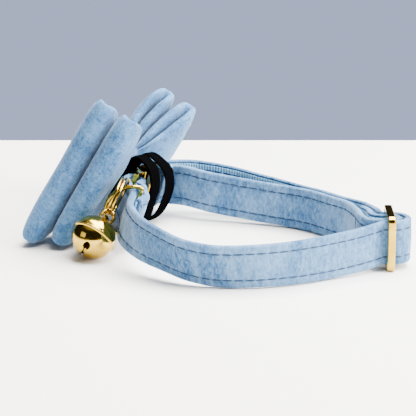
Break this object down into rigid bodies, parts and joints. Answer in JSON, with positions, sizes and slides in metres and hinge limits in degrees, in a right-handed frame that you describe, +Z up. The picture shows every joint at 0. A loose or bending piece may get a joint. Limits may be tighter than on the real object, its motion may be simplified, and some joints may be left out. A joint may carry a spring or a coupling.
{
  "type": "pet bow tie collar",
  "caption": "Adjustable velvet pet collar with a padded bow tie held on elastic loops, a round bell on a split ring, a side buckle and a three-bar slider.",
  "frame": {"origin": "middle of the part's outline, at the height of the surface it stands on", "axes": "+Z up, +X from the bow to the slider, +Y from the near run of the strap to the far one"},
  "size_m": [0.1322, 0.1222, 0.0523],
  "materials": {
    "velvet": "short pile",
    "webbing": "ribbed weave",
    "gold": "pale gold plate, polished",
    "elastic": "matte knit"
  },
  "bodies": {
    "root": {"collar_strap": "velvet", "strap_webbing": "webbing", "slider": "gold", "buckle_body": "gold", "buckle_tongue": "gold", "d_ring": "gold", "split_ring": "gold", "bell": "gold", "bell_pellet": "gold", "bow_front_loop": "velvet", "bow_back_loop": "velvet", "bow_knot": "velvet", "elastic_near": "elastic", "elastic_far": "elastic"}
  },
  "joints": []
}
